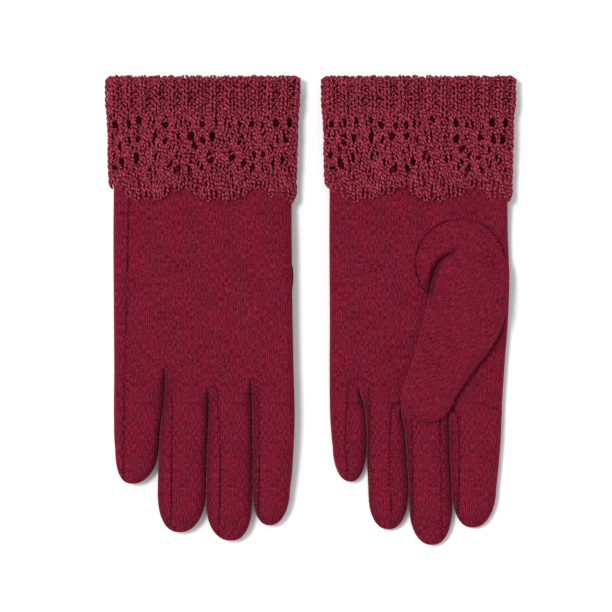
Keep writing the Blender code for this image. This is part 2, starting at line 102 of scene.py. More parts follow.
SENSOR_WIDTH = 36.0
VIEW_WIDTH = 306.0 * MM
VIEW_DISTANCE = 2.5
VIEW_MIDDLE = (-2.25 * MM, 2.5 * MM)
GLOVE_HEIGHT = 9 * MM
camera = bpy.data.objects.new("camera", bpy.data.cameras.new("camera"))
camera.data.sensor_width = SENSOR_WIDTH
camera.data.lens = SENSOR_WIDTH * VIEW_DISTANCE / VIEW_WIDTH
camera.data.clip_end = 20.0
camera.location = (*VIEW_MIDDLE, VIEW_DISTANCE + GLOVE_HEIGHT)
bpy.context.scene.collection.objects.link(camera)
bpy.context.scene.camera = camera
bpy.context.scene.view_settings.view_transform = "Standard"

# The hands: one piece of fine jersey goes round each hand, folded at the index side and sewn at the side
# of the little finger, on the back. It runs from the wrist seam to where the fingers part.
JERSEY_WALL = 1.1
HAND_HALF = 4.6
SIDE_ROUND = 4.2
PARTING_Y = -27.0
CORNER_STEPS = 5
COLUMNS = 16
ROW_STEP = 1.4
SEAM_FAR = 6.0
GUSSET_RADIUS = 22.4
GUSSET_X = 21.0
GUSSET_BELOW_WRIST = 46.4
HALF_FINGER = 4.5  # half the thickness of a finger's solid
# With the palm up or not: how far the hand's middle is above the fingers', and the height of a fingertip's
HAND_LEVEL = {True: 0.2, False: -0.2}
TIP_LEVEL = {True: 4.5, False: 6.0}
FLAT_BELOW_WRIST = (12, 24)  # where the hand starts down from the cuff's height, and over what length
TABLE_GAP = 0.04  # the cloth lies on the table and never reaches below it
RIPPLES = (0.42, 0.16)  # the wide ones and the fine ones
CROWN = 0.55
SEAM_DENT = 0.5
SIDE_SEAM_DENT = 0.55
DENT_WIDTH = 1.1
PUCKER_LENGTH = 4.3
SETTLED = 0.25  # how far the cloth lies inside its outline on the whole

# Rows of height along the glove and the hand's left and right edge there, from the glove's middle
HAND_EDGES = {
    "right": ((70, -44.4, 44.4), (40, -44.6, 44.6), (0, -44.4, 45.0), (-27, -44.2, 45.5)),
    "left": ((70, -44.4, 44.4), (40, -44.6, 44.8), (16, -44.5, 45.6), (-5, -44.4, 44.9), (-27, -44.5, 43.2)),
}
# The height at which each gap between two fingers starts, and each strip's seam ends, on either side
CROTCHES = {"palm": (-38.0, -48.5, -51.0), "back": (-29.0, -38.6, -35.3)}
FOURCHETTE_TOPS = {"palm": (-33.6, -45.5, -49.0), "back": (-27.8, -37.6, -33.8)}
# The gaps between the fingers, as rows of height and sideways place, from the little finger's on
GAP_LINES = {
    "right": (
        ((-27, -19.0), (-44, -19.3), (-60, -21.4), (-86, -22.5), (-120, -23.0)),
        ((-27, 2.9), (-50, 2.9), (-75, 1.9), (-95, 1.6), (-120, 1.5)),
        ((-27, 24.0), (-53, 24.7), (-78, 24.9), (-95, 24.9), (-120, 25.2)),
    ),
    "left": (
        ((-27, -30.3), (-38, -30.3), (-46, -27.6), (-57, -26.2), (-76, -25.8), (-90, -25.2), (-120, -24.8)),
        ((-27, -9.6), (-48, -9.3), (-60, -7.0), (-80, -5.5), (-100, -4.6), (-120, -4.4)),
        ((-27, 14.6), (-54, 15.0), (-76, 15.9), (-95, 17.0), (-120, 18.0)),
    ),
}
# The two seams of each strip between the fingers, where that side is up
STRIP_SEAMS = {
    "palm": (
        (((-27, -34.2), (-60, -36.4), (-90, -35.0)), ((-27, -25.4), (-45, -24.4), (-100, -25.2))),
        (((-40, -13.2), (-75, -14.4), (-108, -13.0)), ((-40, -4.6), (-60, -3.2), (-110, -2.8))),
        (((-45, 10.2), (-70, 11.2), (-112, 11.8)), ((-45, 19.3), (-70, 20.5), (-105, 19.6))),
    ),
    "back": (
        (((-27, -19.4), (-44, -19.8), (-60, -21.8), (-85, -22.8)), ((-27, -14.6), (-60, -15.2), (-106, -15.6))),
        (((-38, 2.4), (-75, 1.5), (-105, 1.2)), ((-38, 7.4), (-70, 9.0), (-111, 8.3))),
        (((-34, 23.6), (-78, 24.5), (-110, 24.7)), ((-34, 27.6), (-70, 28.5), (-104, 28.0))),
    ),
}
SIDE_SEAM = ((75, -36.2), (0, -37.8), (-30, -38.6), (-80, -39.6), (-95, -40.0))


def ease(value):
    value = min(max(value, 0.0), 1.0)
    return value * value * (3 - 2 * value)


def at_height(rows, y):
    """The values at y from rows of (y, values...), highest first, on a smooth curve through the rows."""
    y = min(max(y, rows[-1][0]), rows[0][0])
    k = next(i for i in range(len(rows) - 1) if y >= rows[i + 1][0])
    upper, lower = rows[k], rows[k + 1]
    before, after = rows[max(k - 1, 0)], rows[min(k + 2, len(rows) - 1)]
    gap = lower[0] - upper[0]
    share = (y - upper[0]) / gap
    found = []
    for a, b, c, d in zip(before[1:], upper[1:], lower[1:], after[1:]):
        slope_b = (c - a) / (lower[0] - before[0]) * gap
        slope_c = (d - b) / (after[0] - upper[0]) * gap
        s2, s3 = share * share, share ** 3
        start = (2 * s3 - 3 * s2 + 1) * b + (s3 - 2 * s2 + share) * slope_b
        found.append(start + (3 * s2 - 2 * s3) * c + (s3 - s2) * slope_c)
    return found


class Glove:
    """Where one glove lies in the frame, in millimetres, and which of its sides is up."""

    def __init__(self, name):
        self.name = name
        low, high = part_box(f"{name}_cuff_turn")
        self.x = (low.x + high.x) / 2 / MM
        self.rim_y = high.y / MM
        self.cuff_z = (low.z + high.z) / 2 / MM
        self.cuff_half = (high.z - low.z) / 2 / MM
        self.cuff_half_width = (high.x - low.x) / 2 / MM
        low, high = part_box(f"{name}_trank")
        self.wrist_y = high.y / MM
        low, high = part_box(f"{name}_thumb_stall")
        self.thumb_low, self.thumb_high = low.z / MM, high.z / MM
        low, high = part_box(f"{name}_index_panel")
        self.finger_top = high.z / MM
        self.palm_up = self.thumb_low > low.z / MM
        self.hand_z = self.finger_top - HALF_FINGER + HAND_LEVEL[self.palm_up]
        self.tip_z = TIP_LEVEL[self.palm_up]
        self.faces = {1: "palm" if self.palm_up else "back", -1: "back" if self.palm_up else "palm"}
        self.gusset = (self.x + GUSSET_X, self.wrist_y - GUSSET_BELOW_WRIST)
        swing = next(joint for joint in frame["joints"] if joint["name"] == f"{name}_thumb_swing")
        self.thumb_axis = (swing["pos_m"][0] / MM - self.x, swing["pos_m"][1] / MM)
        self.seed = 3.0 if self.palm_up else 11.0

    def middle_z(self, y):
        """Height of the middle of the cloth tube, which lies lower on the table than under the cuff."""
        start, length = FLAT_BELOW_WRIST
        return self.cuff_z + (self.hand_z - self.cuff_z) * ease((self.wrist_y - start - y) / length)


def gap_line(glove, number, y):
    """Sideways place of the line between two fingers."""
    return at_height(GAP_LINES[glove.name][number], y)[0]


def fourchette_distance(glove, face, x, y, numbers=(0, 1, 2)):
    """Distance to the seams round the strips between the fingers, negative on a strip."""
    side = glove.faces[face]
    up_on = "left" if side == "palm" else "right"
    nearest = SEAM_FAR
    for number in numbers:
        moved = gap_line(glove, number, y) - at_height(GAP_LINES[up_on][number], y)[0]
        little_seam, index_seam = (at_height(rows, y)[0] + moved for rows in STRIP_SEAMS[side][number])
        half = (index_seam - little_seam) / 2
        beside = abs(x - (little_seam + index_seam) / 2) - half
        above = y - FOURCHETTE_TOPS[side][number]
        arch = min(half, 4.0)
        outside = math.hypot(max(beside + arch, 0.0), max(above + arch, 0.0))
        nearest = min(nearest, outside + min(max(beside + arch, above + arch), 0.0) - arch)
    return nearest


def side_seam_distance(glove, face, x, y):
    """Signed distance to the seam down the back of the little finger's side, or None away from it."""
    if glove.faces[face] == "palm":
        return None
    away = x - at_height(SIDE_SEAM, y)[0]
    return away if abs(away) < 4.5 else None


def gusset_distance(glove, face, x, y):
    """Distance outward from the round seam that the thumb is set in."""
    if glove.faces[face] == "back":
        return SEAM_FAR
    return math.hypot(x + glove.x - glove.gusset[0], y - glove.gusset[1]) - GUSSET_RADIUS


def seam_values(glove, face, x, y, numbers=(0, 1, 2)):
    """The distances to a strip or gusset seam and to the side seam, if that is near, and the stitches' run."""
    strip = fourchette_distance(glove, face, x, y, numbers)
    round_seam = gusset_distance(glove, face, x, y)
    side = side_seam_distance(glove, face, x, y)
    near = min(max(strip, -SEAM_FAR), SEAM_FAR, max(round_seam, 0.0))
    return near, SEAM_FAR if side is None else side, 0.0 if side is None else 1.0, y + 0.7 * x


def relief(glove, face, x, y, share, numbers=(0, 1, 2)):
    """How far the cloth stands out: soft ripples, a crown on each finger and dents at the seams."""
    away_from_thumb = ease((math.hypot(x + glove.x - glove.gusset[0], y - glove.gusset[1]) - 20) / 14)
    ripple = RIPPLES[0] * noise.noise(Vector((x / 15, y / 24, glove.seed + face)))
    ripple += RIPPLES[1] * noise.noise(Vector((x / 5, y / 9, glove.seed - face)))
    if glove.faces[face] == "palm":
        ripple *= away_from_thumb
    crown = CROWN * (1 - (2 * share - 1) ** 2) * ease((-8 - y) / 34)
    strip, side, side_near, run = seam_values(glove, face, x, y, numbers)
    wander = 2 * noise.noise(Vector((run / 7, 0, 0)))
    pucker = 0.75 + 0.25 * math.sin(run * 2 * math.pi / PUCKER_LENGTH + wander)
    dent = SEAM_DENT * math.exp(-(strip / DENT_WIDTH) ** 2) * pucker
    if side_near:
        dent += SIDE_SEAM_DENT * math.exp(-(side / DENT_WIDTH) ** 2) * pucker
    return ripple + crown - dent - SETTLED


def cloth_ring(glove, y, edges, rounding, middle_z, half, inset=0.0, numbers=(0, 1, 2), between=(0.0, 0.0)):
    """One closed section of a flattened jersey tube: over the top from left to right, and back underneath.

    edges are the outer edges and any lines between fingers, and rounding gives for either face the left
    and right edge's radius, which is 0 where two fingers are still one cloth. between gives for the left
    and right sides how strongly they lie in a gap between two fingers; it is kept as their fold mark,
    which paints shade on their colour.
    """
    rows = {}
    corner = [step / CORNER_STEPS * math.pi / 2 for step in range(CORNER_STEPS)]
    corner = [(1 - math.cos(turn), math.sin(turn)) for turn in corner]
    for face in (1, -1):
        left_round, right_round = (max(r - inset, 0.0) for r in rounding[face])
        left, right = edges[0] + inset, edges[-1] - inset
        height = half - inset
        row = [(left + left_round * aside, height * up, 0.0, up) for aside, up in corner]
        lines = [left + left_round, *edges[1:-1], right - right_round]
        for k, (start, end) in enumerate(zip(lines, lines[1:])):
            last = k == len(lines) - 2
            for step in range(COLUMNS + last):
                share = step / COLUMNS
                row.append((start + (end - start) * share, height, share, 1.0))
        row += [(right - right_round * aside, height * up, 1.0, up) for aside, up in reversed(corner)]
        rows[face] = row
    points = []
    for face, row in ((1, rows[1][:-1]), (-1, rows[-1][:0:-1])):
        for x, out, share, full in row:
            values = (SEAM_FAR, SEAM_FAR, 0.0, y)
            # Painted shade on the sides that lie in a gap between two fingers, kept as the point's fold mark
            shaded = between[0] if share < 0.5 else between[1]
            if inset == 0.0:
                out += full * relief(glove, face, x, y, share, numbers)
                values = seam_values(glove, face, x, y, numbers)
            z = max(middle_z + face * out, TABLE_GAP)
            points.append((x, y, z, *values, shaded * (1 - full) ** 0.6))
    return points


def made_piece(name, points, faces, cloth_map):
    """A smooth piece from its points, its faces and where each corner of them lies on the cloth."""
    mesh = bpy.data.meshes.new(name)
    mesh.from_pydata([tuple(point) for point in points], [], faces)
    mesh.uv_layers.new(name="cloth").data.foreach_set("uv", np.array(cloth_map, np.float32).ravel())
    mesh.shade_smooth()
    piece = bpy.data.objects.new(name, mesh)
    bpy.context.scene.collection.objects.link(piece)
    return piece


def mark_points(piece, label, values):
    """Stores a value for every point of a piece, for its cloth to read."""
    if label not in piece.data.attributes:
        piece.data.attributes.new(label, "FLOAT", "POINT")
    piece.data.attributes[label].data.foreach_set("value", np.array(values, np.float32))


def sew_cloth(name, glove, outer, inner, cup=False):
    """A closed cloth piece from its outer rings and its inner rings; a cup is open at its first ring."""
    rings = [*outer, *inner]
    count = len(outer[0])
    points = [(glove.x + x, y, z) for ring in rings for x, y, z, *_ in ring]
    run_round = []
    for ring in rings:
        travelled = [0.0]
        for first, second in zip(ring, [*ring[1:], ring[0]]):
            travelled.append(travelled[-1] + math.hypot(second[0] - first[0], second[2] - first[2]))
        middle = travelled[count // 4]
        run_round.append([value - middle for value in travelled])
    faces, cloth_map = [], []

    def strip(a, b, flip):
        for i in range(count):
            j = (i + 1) % count
            corners = [(a, i, i), (b, i, i), (b, j, i + 1), (a, j, i + 1)]
            if flip:
                corners.reverse()
            faces.append([ring * count + place for ring, place, _ in corners])
            for ring, place, step in corners:
                cloth_map.append((run_round[ring][step] * MM, rings[ring][place][1] * MM))

    def cap(ring, flip):
        places = list(range(count))
        if flip:
            places.reverse()
        faces.append([ring * count + place for place in places])
        cloth_map.extend((run_round[ring][place] * MM, rings[ring][place][1] * MM) for place in places)

    for a in range(len(outer) - 1):
        strip(a, a + 1, False)
    first_inner, last_inner = len(outer), len(rings) - 1
    for a in range(first_inner, last_inner):
        strip(a, a + 1, True)
    cap(len(outer) - 1, True)
    cap(last_inner, False)
    if cup:
        strip(0, first_inner, True)
    else:
        cap(0, False)
        cap(first_inner, True)
    piece = made_piece(name, [[v * MM for v in point] for point in points], faces, cloth_map)
    # The fold value is painted shade, which the jersey darkens its colour by
    for place, label in enumerate(("seam", "side_seam", "side_near", "run", "fold")):
        unit = 1.0 if label in ("side_near", "fold") else MM
        mark_points(piece, label, [point[3 + place] * unit for ring in rings for point in ring])
    piece.data.set_sharp_from_angle(angle=math.radians(48))
    return piece


def maths(operation, *values):
    """A Math node's result, in the tree that the values come from."""
    tree = next(value.id_data for value in values if isinstance(value, bpy.types.NodeSocket))
    return add_node(tree, "ShaderNodeMath", dict(enumerate(values)), operation=operation).outputs[0]


def plus(first, second):
    return maths("ADD", first, second)


def minus(first, second):
    return maths("SUBTRACT", first, second)


def times(first, second):
    return maths("MULTIPLY", first, second)


def speckle(place, scale, detail, roughness=0.5):
    """Noise about a half."""
    inputs = {"Vector": place, "Scale": scale, "Detail": detail, "Roughness": roughness}
    return add_node(place.id_data, "ShaderNodeTexNoise", inputs).outputs["Fac"]


def streaks(place, across, along, scale, detail, roughness=0.5):
    """Noise that is finer across the cloth than along it, or the other way."""
    inputs = {0: place, 1: (across, along, 1.0)}
    stretched = add_node(place.id_data, "ShaderNodeVectorMath", inputs, operation="MULTIPLY").outputs[0]
    return speckle(stretched, scale, detail, roughness)


def strengthened(value, by, around):
    """Noise about a half, spread out and moved about another value."""
    return plus(times(minus(value, 0.5), by), around)


def mixed(share, first, second):
    """A colour between two others."""
    inputs = {"Factor": share, 6: first, 7: second}
    return add_node(first.id_data, "ShaderNodeMix", inputs, data_type="RGBA").outputs[2]


def line_mask(distance, core, edge):
    """1 on a seam line and 0 beyond its edge."""
    inputs = {"From Min": core * MM, "From Max": edge * MM, "To Min": 1.0, "To Max": 0.0}
    inputs["Value"] = maths("ABSOLUTE", distance)
    return add_node(distance.id_data, "ShaderNodeMapRange", inputs, interpolation_type="SMOOTHSTEP").outputs[0]


def knit_group(name, values):
    """A group with its starting values, which gives a place on the cloth its colour, height and roughness."""
    group = bpy.data.node_groups.new(name, "ShaderNodeTree")
    group.interface.new_socket("Cloth", in_out="INPUT", socket_type="NodeSocketVector")
    for label, value in values.items():
        kind = "NodeSocketFloat" if isinstance(value, float) else "NodeSocketColor"
        group.interface.new_socket(label, in_out="INPUT", socket_type=kind).default_value = value
    group.interface.new_socket("Colour", in_out="OUTPUT", socket_type="NodeSocketColor")
    for label in ("Height", "Roughness"):
        group.interface.new_socket(label, in_out="OUTPUT", socket_type="NodeSocketFloat")
    return group


# Jersey: fine vertical ribs of V-shaped stitches in a yarn that is spun from lighter and darker wool.
jersey_knit = knit_group("jersey_knit", {
    "Wale Width": 0.95 * MM, "Course Height": 0.8 * MM, "Colour": (0.146, 0.0052, 0.0195, 1.0),
    "Dark Wool": (0.070, 0.0007, 0.0065, 1.0), "Light Wool": (0.290, 0.0200, 0.052, 1.0),
})
given = jersey_knit.nodes.new("NodeGroupInput").outputs
cloth = given["Cloth"]
split = add_node(jersey_knit, "ShaderNodeSeparateXYZ", {0: cloth}).outputs
across = plus(maths("DIVIDE", split[0], given["Wale Width"]), speckle(cloth, 90.0, 2.0))
beside = maths("ABSOLUTE", minus(maths("FRACT", across), 0.5))
rib = minus(1.0, times(4.0, times(beside, beside)))
course = plus(maths("DIVIDE", split[1], given["Course Height"]), times(beside, 1.4))
loops = maths("SINE", times(course, 2 * math.pi))
heather = streaks(cloth, 1500.0, 420.0, 1.0, 3.0, 0.7)
slubs = streaks(cloth, 480.0, 1500.0, 1.0, 2.0)
cloudy = speckle(cloth, 70.0, 3.0)
speck = speckle(cloth, 1500.0, 1.0)
# The fold attribute is painted shade: it darkens the cloth in the thumb's fold and in the gaps between the
# fingers
seam, side, side_near, run, painted_shade = (
    add_node(jersey_knit, "ShaderNodeAttribute", attribute_name=label).outputs["Fac"]
    for label in ("seam", "side_seam", "side_near", "run", "fold")
)

# Every seam is a dark groove of uneven depth, with the cloth pulled up beside it stitch by stitch
on_side = maths("GREATER_THAN", side_near, 0.98)
groove = maths("MAXIMUM", line_mask(seam, 0.1, 0.75), times(line_mask(side, 0.1, 0.8), on_side))
beside_seam = maths("MAXIMUM", line_mask(seam, 0.6, 2.2), times(line_mask(side, 0.6, 2.2), on_side))
stitch = maths("SINE", times(run, 2 * math.pi / (2.1 * MM)))
uneven = times(groove, strengthened(cloudy, 3.0, 0.42))

wool = mixed(strengthened(heather, 2.9, 0.37), given["Dark Wool"], given["Light Wool"])
even = mixed(0.85, given["Colour"], wool)
# The tone is darker between the ribs and along each course of loops, where the height sinks: painted shade in
# the knit's hollows. The speckle, cloudiness and slubs are the wool's own uneven tone.
tone = plus(strengthened(speck, 1.5, 1.0), times(minus(rib, 0.65), 0.55))
tone = plus(tone, times(loops, 0.17))
tone = plus(tone, strengthened(cloudy, 0.5, 0.0))
tone = plus(tone, strengthened(slubs, 0.7, 0.0))
tone = minus(tone, times(uneven, plus(0.9, times(stitch, 0.5))))
tone = plus(tone, times(minus(beside_seam, groove), times(stitch, 0.3)))
# Painted shade: the colour is darkened by up to 0.72 where the fold mark is set
tone = times(tone, minus(1.0, times(painted_shade, 0.72)))
tone = maths("MAXIMUM", tone, 0.04)
shade = add_node(jersey_knit, "ShaderNodeCombineXYZ", {0: tone, 1: tone, 2: tone}).outputs[0]
dyed = add_node(jersey_knit, "ShaderNodeVectorMath", {0: even, 1: shade}, operation="MULTIPLY").outputs[0]
height = plus(times(rib, 0.6), times(loops, 0.25))
height = plus(height, times(speck, 0.5))
height = minus(height, times(groove, 1.6))
height = plus(height, times(beside_seam, plus(0.7, times(stitch, 0.5))))
rough = plus(0.82, times(heather, 0.12))
add_node(jersey_knit, "NodeGroupOutput", {"Colour": dyed, "Height": height, "Roughness": rough})


def wool_material(name, group, sheen, bump, values=None, bias=0.0):
    """A matt wool finish: the knit group gives colour, height and roughness, and loose fibres give sheen."""
    material = bpy.data.materials.new(name)
    material.use_nodes = True
    tree = material.node_tree
    finish = tree.nodes["Principled BSDF"]
    cloth = add_node(tree, "ShaderNodeUVMap", uv_map="cloth").outputs[0]
    if bias:
        turned = {"Vector": cloth, "Rotation": (0.0, 0.0, math.radians(bias))}
        cloth = add_node(tree, "ShaderNodeMapping", turned).outputs[0]
    knit = add_node(tree, "ShaderNodeGroup", node_tree=group)
    tree.links.new(cloth, knit.inputs["Cloth"])
    for label, value in (values or {}).items():
        knit.inputs[label].default_value = value
    raised = {"Height": knit.outputs["Height"], "Distance": bump, "Strength": 0.8}
    tree.links.new(knit.outputs["Colour"], finish.inputs["Base Color"])
    tree.links.new(knit.outputs["Roughness"], finish.inputs["Roughness"])
    tree.links.new(add_node(tree, "ShaderNodeBump", raised).outputs[0], finish.inputs["Normal"])
    finish.inputs["Specular IOR Level"].default_value = 0.05
    finish.inputs["Sheen Weight"].default_value = sheen
    finish.inputs["Sheen Roughness"].default_value = 0.3
    finish.inputs["Sheen Tint"].default_value = (1.0, 0.12, 0.26, 1.0)
    return material


jersey = wool_material("red_wool_jersey", jersey_knit, 0.38, 0.32 * MM)


def partings_at(glove, y):
    """The hand's edges and the lines that grow into the gaps between the fingers, at height y."""
    left, right = at_height(HAND_EDGES[glove.name], y)
    low_left, low_right = HAND_EDGES[glove.name][-1][1:]
    lines = [gap_line(glove, number, PARTING_Y) for number in range(3)]
    shares = [(line - low_left) / (low_right - low_left) for line in lines]
    return [left, *(left + (right - left) * share for share in shares), right]


def hand_ring(glove, y, inset=0.0):
    """One section of the hand, where the fingers aren't parted yet."""
    rounding = {face: (SIDE_ROUND, SIDE_ROUND) for face in (1, -1)}
    return cloth_ring(glove, y, partings_at(glove, y), rounding, glove.middle_z(y), HAND_HALF, inset)


gloves = [Glove("right"), Glove("left")]
for glove in gloves:
    rows = int((glove.wrist_y - PARTING_Y) / ROW_STEP)
    heights = [glove.wrist_y + (PARTING_Y - glove.wrist_y) * k / rows for k in range(rows + 1)]
    outer = [hand_ring(glove, y) for y in heights]
    inner = [hand_ring(glove, y, JERSEY_WALL) for y in (*heights[:-3:3], heights[-2])]
    hand = sew_cloth(f"{glove.name}_hand_jersey", glove, outer, inner, cup=True)
    hand.data.materials.append(jersey)
    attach(hand, f"{glove.name}_hand")
    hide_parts(f"{glove.name}_trank")

# The fingers: each is the hand's own jersey in front and behind, joined by the folded strips between the
# fingers. They bend at their roots, so each piece starts where the fingers part.
FINGER_HALF = 4.4
CROTCH_OPENING = 7.0
BETWEEN_ROUND = 4.2
HALF_GAP = 0.12
# How strongly shade is painted on a finger's side in a gap between fingers
GAP_SHADE = 0.9
SHADE_OVER = 5
THINNER_OVER = 20  # below the parting, a finger comes to its own thickness over this length
TIP_ROUND = 4.6
MOST_ROUND = 0.46  # an edge's radius is at most this share of the finger's width
LAST_DROOP_Y = -57.4  # the long fingers slope down to the table from here at the latest
TIP_TURNS = (0, 12, 24, 35, 46, 56, 66, 75, 82, 87)
# Each finger's outer edge, where it has one, then where the tip's rounding starts, and the tip's place
FINGER_SHAPES = {
    "right": {
        "little": (((-27, -44.2), (-61, -44.3), (-72, -43.6)), -69.0, (-35.0, -86.5)),
        "ring": ((), -92.0, (-11.5, -110.8)),
        "middle": ((), -97.0, (14.0, -115.0)),
        "index": (((-27, 45.5), (-53, 46.1), (-78, 45.0), (-91, 43.6)), -90.0, (33.5, -107.3)),
    },
    "left": {
        "little": (((-27, -44.5), (-50, -44.3), (-63, -43.5), (-72, -42.4)), -68.0, (-34.0, -85.5)),
        "ring": ((), -92.0, (-15.0, -109.4)),
        "middle": ((), -98.5, (6.8, -117.2)),
        "index": (((-27, 43.2), (-45, 42.1), (-63, 41.4), (-76, 40.4), (-90, 39.0)), -89.0, (27.2, -108.5)),
    },
}
fingers_in_order = ("little", "ring", "middle", "index")
joint_places = {joint["name"]: joint for joint in frame["joints"]}


def upper_crotch(gap):
    """Where a gap starts on the face on which it reaches further up the hand."""
    return max(CROTCHES["palm"][gap], CROTCHES["back"][gap])


def finger_rows(glove, number, finger):
    """Every row of a finger as (y, edges, width share, height share), from the parting to the tip."""
    outer_edge, round_y, (tip_x, tip_y) = FINGER_SHAPES[glove.name][finger]
    parted = partings_at(glove, PARTING_Y)[number : number + 2]

    def edge_at(edge, y):
        gap = number - 1 if edge == 0 else number
        if not 0 <= gap <= 2:
            return at_height(outer_edge, y)[0]
        opened = HALF_GAP * ease((upper_crotch(gap) - y) / CROTCH_OPENING)
        return gap_line(glove, gap, y) + (opened if edge == 0 else -opened)

    rows = int((PARTING_Y - round_y) / ROW_STEP)
    made = [(PARTING_Y, parted, 1.0, 1.0)]
    for k in range(1, rows):
        y = PARTING_Y + (round_y - PARTING_Y) * k / rows
        made.append((y, (edge_at(0, y), edge_at(1, y)), 1.0, 1.0))
    left, right = edge_at(0, round_y), edge_at(1, round_y)
    for degrees in TIP_TURNS:
        turn = math.radians(degrees)
        shift = (tip_x - (left + right) / 2) * math.sin(turn) ** 2
        y = round_y + (tip_y - round_y) * math.sin(turn)
        made.append((y, (left + shift, right + shift), math.cos(turn) ** 0.86, math.cos(turn) ** 0.6))
    return made


for glove in gloves:
    for number, finger in enumerate(fingers_in_order):
        joint = joint_places[f"{glove.name}_{finger}_fold"]
        fold_y = joint["pos_m"][1] / MM
        rows = finger_rows(glove, number, finger)
        tip_y = rows[-1][0]
        numbers = [n for n in (number - 1, number) if 0 <= n <= 2]
        droop_from = fold_y if glove.palm_up or number < 1 else min(fold_y, LAST_DROOP_Y)

        def finger_ring(row, inset):
            y, (left, right), wide, high = row
            gaps = (number - 1, number)
            rounding = {}
            for face in (1, -1):
                crotches = CROTCHES[glove.faces[face]]
                rounds = []
                for gap in gaps:
                    full = SIDE_ROUND
                    if 0 <= gap <= 2:
                        full = BETWEEN_ROUND * ease((crotches[gap] - y) / CROTCH_OPENING)
                    full += (TIP_ROUND - full) * (1 - wide)
                    rounds.append(min(full, (right - left) * wide * MOST_ROUND))
                rounding[face] = tuple(rounds)
            # Painted shade on the sides that face a gap, fading in below its crotch
            between = [0.0, 0.0]
            for edge, gap in enumerate(gaps):
                if 0 <= gap <= 2:
                    between[edge] = GAP_SHADE * ease((upper_crotch(gap) - y) / SHADE_OVER) * wide
            thinned = ease((PARTING_Y - y) / THINNER_OVER)
            level = glove.middle_z(y) + (glove.finger_top - HALF_FINGER - glove.hand_z) * thinned
            if not glove.palm_up:
                down = ease((droop_from - y) / (droop_from - tip_y))
                level += (glove.tip_z - glove.finger_top + HALF_FINGER) * down
            half = HAND_HALF + (FINGER_HALF - HAND_HALF) * thinned
            middle = (left + right) / 2
            reach = (right - left) / 2 * wide
            return cloth_ring(
                glove, y, [middle - reach, middle + reach], rounding, level, half * high,
                inset * min(high, 1.0), numbers, between,
            )

        outer = [finger_ring(row, 0.0) for row in rows]
        inner = [finger_ring(row, JERSEY_WALL) for row in (*rows[1:-4:2], rows[-3])]
        piece = sew_cloth(f"{glove.name}_{finger}_jersey", glove, outer, inner)
        piece.data.materials.append(jersey)
        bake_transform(piece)
        nodes = [n for n in frame["nodes"] if n.startswith(f"{glove.name}_{finger}_")]
        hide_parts(*nodes)

# The thumbs: a round gusset is set into the palm, and the stall that grows out of it lies across the palm.
# The cloth rises from the gusset without a crease on the outer side and folds sharply on the inner side.
THUMB_TURN = math.radians(-13.0)
THUMB_END = 80.0
THUMB_COLUMNS = 26
PLEAT_AWAY = 2.6
PLEAT_HEIGHT = 3.4
HIDDEN_THUMB_SHARE = 0.78  # it is pressed flatter than the one that shows
UNDER_THUMB_GAP = 0.6  # the hidden thumb lies this far below the palm
THUMB_EDGE_ROUND = 5.5
THUMB_TIP_X = -1.6
THUMB_WALL = JERSEY_WALL * 0.8
GUSSET_THICKNESS = 0.5
GUSSET_CLEAR = 0.15
GUSSET_RINGS = (0.5, 1.0, *[1.7] * 11)
GUSSET_BELOW_PALM = 0.2
# Distance from the gusset's middle toward the tip (negative behind it), then the inner edge, the outer edge,
# how high the cloth has risen, how round the edges are, and how creased the outer edge is
THUMB_ROWS = (
    (21.5, 2.0, 7.0, 0.0, 0.0, 0.0),
    (17.0, 1.5, 12.5, 0.07, 0.0, 0.0),
    (11.0, 0.0, 19.5, 0.24, 0.0, 0.0),
    (6.0, -4.2, 23.6, 0.44, 0.1, 0.05),
    (0.0, -9.8, 25.6, 0.64, 0.35, 0.2),
    (-9.9, -11.7, 26.8, 0.9, 0.75, 0.6),
    (-20.0, -11.6, 27.6, 1.0, 1.0, 1.0),
    (-33.0, -11.4, 25.6, 1.0, 1.0, 1.0),
    (-50.0, -12.1, 18.2, 0.97, 1.0, 1.0),
    (-66.0, -14.0, 12.2, 0.92, 1.0, 1.0),
)


def thumb_to_glove(glove, beside, forward):
    """A place beside and along the thumb, where forward is away from its tip, as measured from the glove."""
    x = glove.thumb_axis[0] + beside * math.cos(THUMB_TURN) - forward * math.sin(THUMB_TURN)
    return x, glove.thumb_axis[1] + beside * math.sin(THUMB_TURN) + forward * math.cos(THUMB_TURN)


